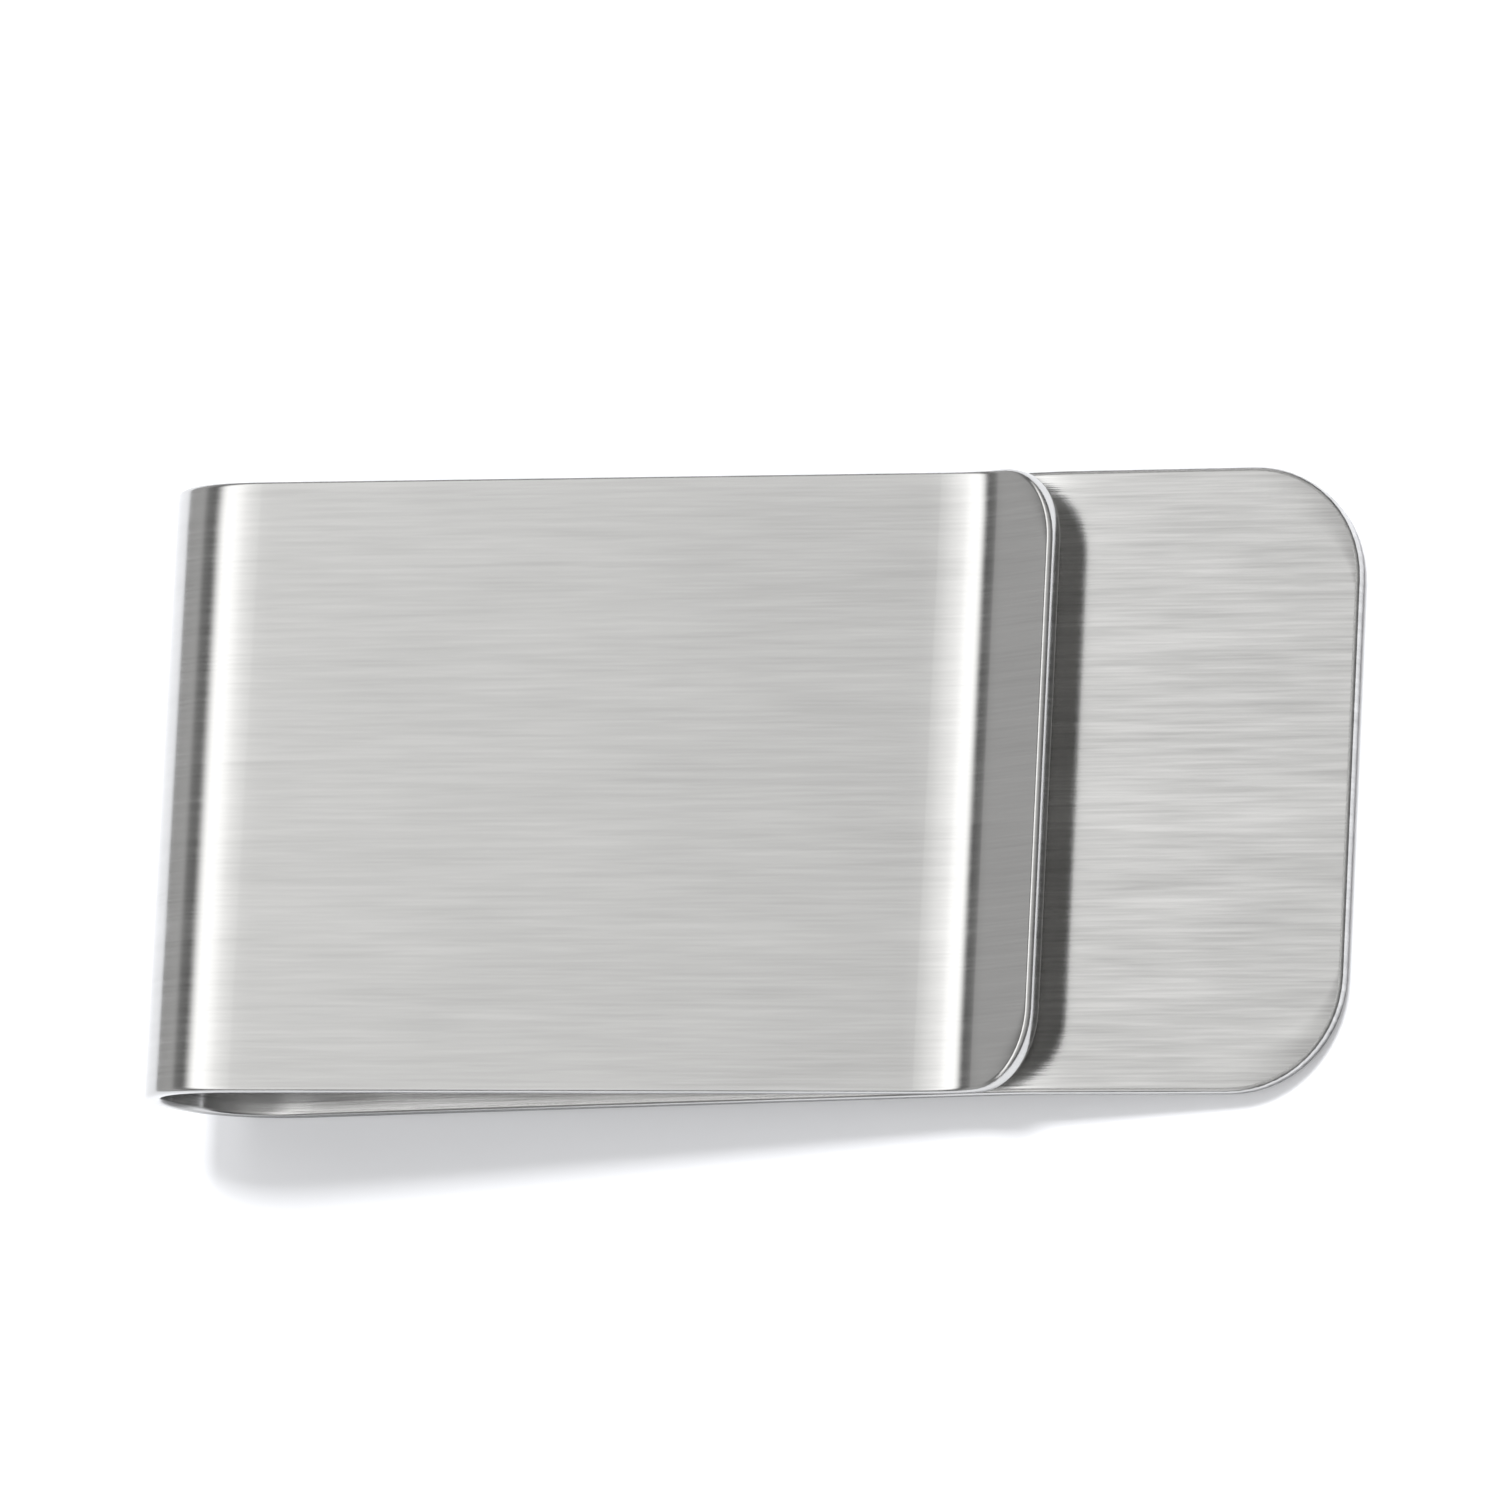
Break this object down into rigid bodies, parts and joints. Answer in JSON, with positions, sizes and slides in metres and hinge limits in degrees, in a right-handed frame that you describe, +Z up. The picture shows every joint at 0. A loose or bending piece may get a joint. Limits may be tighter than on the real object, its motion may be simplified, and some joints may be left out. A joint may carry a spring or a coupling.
{
  "type": "money clip",
  "caption": "Spring money clip bent from one strip of brushed stainless sheet, with a rounded tab behind a front arm that opens at the fold and has a turned-up lip.",
  "frame": {"origin": "centre of the clip's outline on the plane that it rests on", "axes": "+X from the fold towards the tab's free end, +Y across the strip's width, +Z up through the front arm, with the clip lying on its back"},
  "size_m": [0.053, 0.0254, 0.0084],
  "materials": {
    "brushed_sheet": "brushed along the strip's length, satin, with deburred edges"
  },
  "bodies": {
    "back": {"back_plate": "brushed_sheet", "back_arm": "brushed_sheet", "fold_rear_half": "brushed_sheet"},
    "front": {"fold_front_half": "brushed_sheet", "front_arm": "brushed_sheet", "lead_in_lip": "brushed_sheet"}
  },
  "joints": [
    {"name": "fold_spring", "type": "hinge", "parent": "back", "child": "front", "pos_m": [-0.02647, 0, 0.00444], "axis": [0, -1, 0], "range_deg": [0, 8], "stiffness_Nm_per_rad": 4.3, "springref_deg": -2.01}
  ]
}
